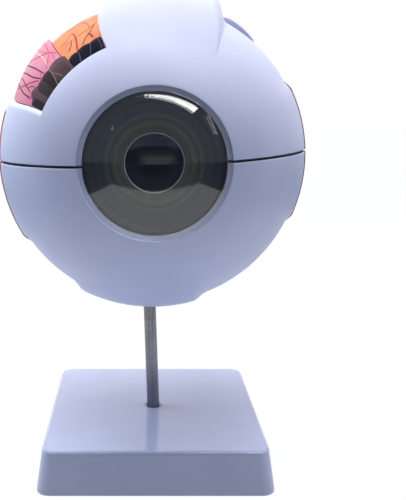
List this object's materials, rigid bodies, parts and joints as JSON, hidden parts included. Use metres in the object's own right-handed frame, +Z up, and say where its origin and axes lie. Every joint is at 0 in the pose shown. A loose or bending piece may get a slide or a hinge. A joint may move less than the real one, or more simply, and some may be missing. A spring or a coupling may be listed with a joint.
{
  "type": "sectional eye model",
  "caption": "Enlarged sectional model of a human eyeball on a steel rod and square base; the upper half, vitreous body, lens, iris and cornea lift out, and a window shows the inner layers.",
  "frame": {"origin": "centre of the base's underside, on the table", "axes": "+Z up, -Y the way the cornea looks, +X towards the temporal side of the eye"},
  "size_m": [0.1426, 0.1642, 0.2225],
  "materials": {
    "base_plastic": "gloss",
    "rod_steel": "satin",
    "white_plastic": "gloss",
    "tendon_plastic": "gloss",
    "choroid_paint": "hand painted, clear coated",
    "choroid_dark": "painted",
    "retina_paint": "hand painted, clear coated",
    "ciliary_paint": "painted",
    "muscle_lobe_paint": "painted",
    "serrata_paint": "painted",
    "muscle_paint": "painted",
    "nerve_paint": "painted",
    "sheath_plastic": "gloss",
    "artery_paint": "painted",
    "vein_paint": "painted",
    "peg_plastic": "plain",
    "clear_plastic": "clear, polished",
    "iris_paint": "painted"
  },
  "bodies": {
    "stand": {"base": "base_plastic"},
    "rod": {"support_rod": "rod_steel"},
    "lower_half": {"sclera_lower": "white_plastic", "choroid_lower": "choroid_dark", "retina_lower": "retina_paint", "ciliary_body_lower": "ciliary_paint", "inferior_rectus": "muscle_paint", "inferior_oblique": "muscle_paint", "medial_rectus_lower": "muscle_paint", "lateral_rectus_lower": "muscle_paint", "optic_nerve": "nerve_paint", "nerve_sheath": "sheath_plastic", "central_artery": "artery_paint", "central_vein": "vein_paint", "seam_pegs": "peg_plastic"},
    "upper_half": {"sclera_upper": "white_plastic", "choroid_upper": "choroid_paint", "retina_upper": "retina_paint", "ciliary_body_upper": "ciliary_paint", "ciliary_muscle_lobes": "muscle_lobe_paint", "ora_serrata_lobes": "serrata_paint", "superior_rectus": "muscle_paint", "superior_oblique": "tendon_plastic", "medial_rectus_upper": "muscle_paint", "lateral_rectus_upper": "muscle_paint"},
    "vitreous": {"vitreous_body": "clear_plastic"},
    "lens": {"lens": "clear_plastic"},
    "iris": {"iris": "iris_paint"},
    "cornea": {"cornea": "clear_plastic"}
  },
  "joints": [
    {"name": "rod_swivel", "type": "hinge", "parent": "stand", "child": "rod", "pos_m": [0, 0, 0.0185], "axis": [-0.0366, 0, 0.9993], "continuous": true},
    {"name": "eyeball_lift", "type": "slide", "parent": "rod", "child": "lower_half", "axis": [-0.0366, 0, 0.9993], "range_m": [0, 0.04]},
    {"name": "upper_half_lift", "type": "slide", "parent": "lower_half", "child": "upper_half", "axis": [-0.0366, 0, 0.9993], "range_m": [0, 0.16]},
    {"name": "vitreous_lift", "type": "slide", "parent": "lower_half", "child": "vitreous", "axis": [-0.0366, 0, 0.9993], "range_m": [0, 0.08]},
    {"name": "cornea_pull", "type": "slide", "parent": "lower_half", "child": "cornea", "axis": [0, -1, 0], "range_m": [0, 0.12]},
    {"name": "iris_pull", "type": "slide", "parent": "lower_half", "child": "iris", "axis": [0, -1, 0], "range_m": [0, 0.08]},
    {"name": "lens_pull", "type": "slide", "parent": "vitreous", "child": "lens", "axis": [0, -1, 0], "range_m": [0, 0.04]}
  ],
  "couplings": [
    {"joint": "vitreous_lift", "follows": "upper_half_lift", "ratio": 0.5},
    {"joint": "iris_pull", "follows": "cornea_pull", "ratio": 0.66666},
    {"joint": "lens_pull", "follows": "cornea_pull", "ratio": 0.33333}
  ]
}
